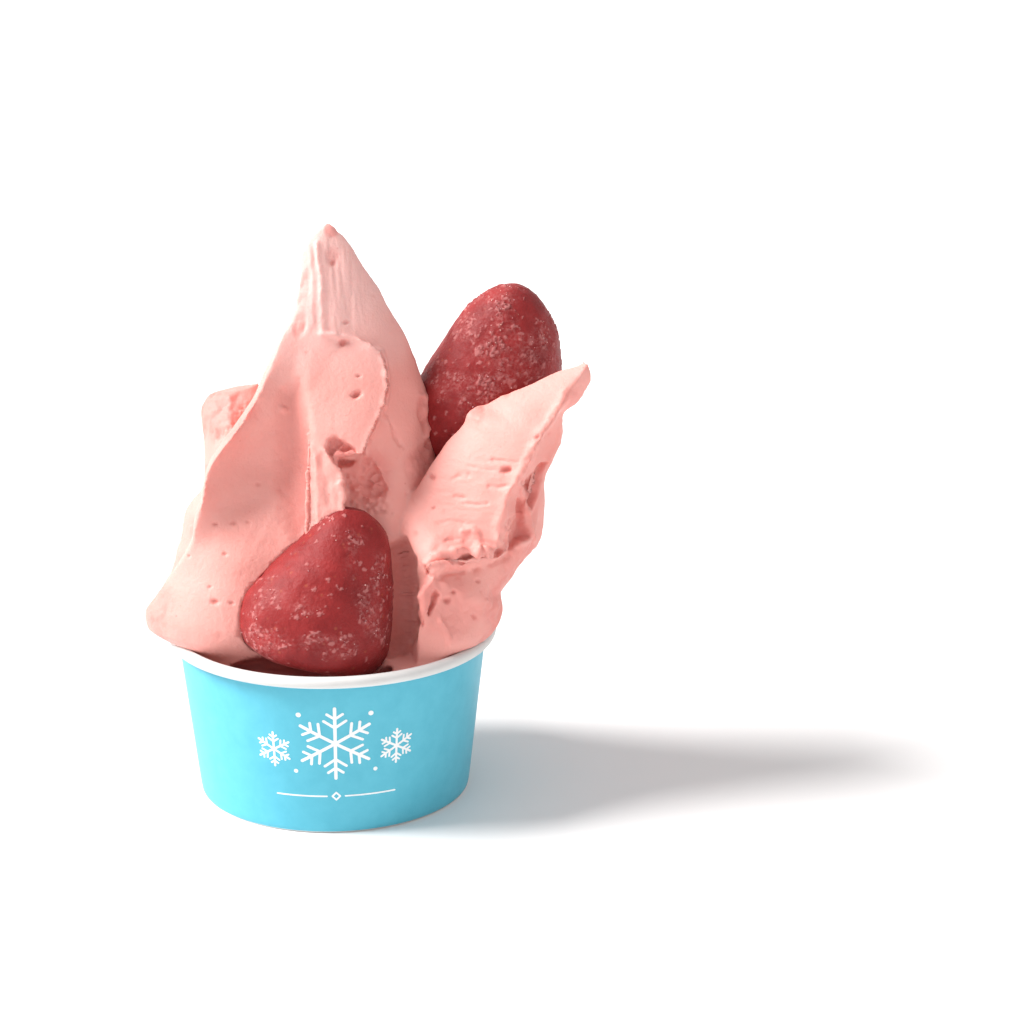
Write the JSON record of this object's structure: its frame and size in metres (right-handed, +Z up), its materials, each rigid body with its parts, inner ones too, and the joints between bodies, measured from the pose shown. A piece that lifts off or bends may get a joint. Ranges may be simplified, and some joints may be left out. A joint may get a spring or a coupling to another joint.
{
  "type": "sorbet cup",
  "caption": "Printed paper cup heaped with strawberry sorbet in tall spread peaks, with large frozen strawberries pressed into it.",
  "frame": {"origin": "middle of the whole footprint, on the surface that the cup stands on; the cup's own axis is 10 mm to the left of it, at -X, because the sorbet leans out to the right", "axes": "+Z up; -Y is the front, where the low strawberry lies against the rim; +X is to the right seen from the front"},
  "size_m": [0.1234, 0.092, 0.16],
  "materials": {
    "cup_board": "coated paper board, sky blue print with a white rolled rim, satin",
    "cup_inside": "plain white coated board, satin",
    "sorbet": "frozen strawberry sorbet, soft pink, fine torn grain, slightly wet in the hollows",
    "strawberry": "frozen strawberry, deep red under a thin uneven frost"
  },
  "bodies": {
    "root": {"cup_wall": "cup_board", "cup_floor": "cup_inside", "sorbet": "sorbet", "strawberry_front": "strawberry", "strawberry_back": "strawberry"}
  },
  "joints": []
}
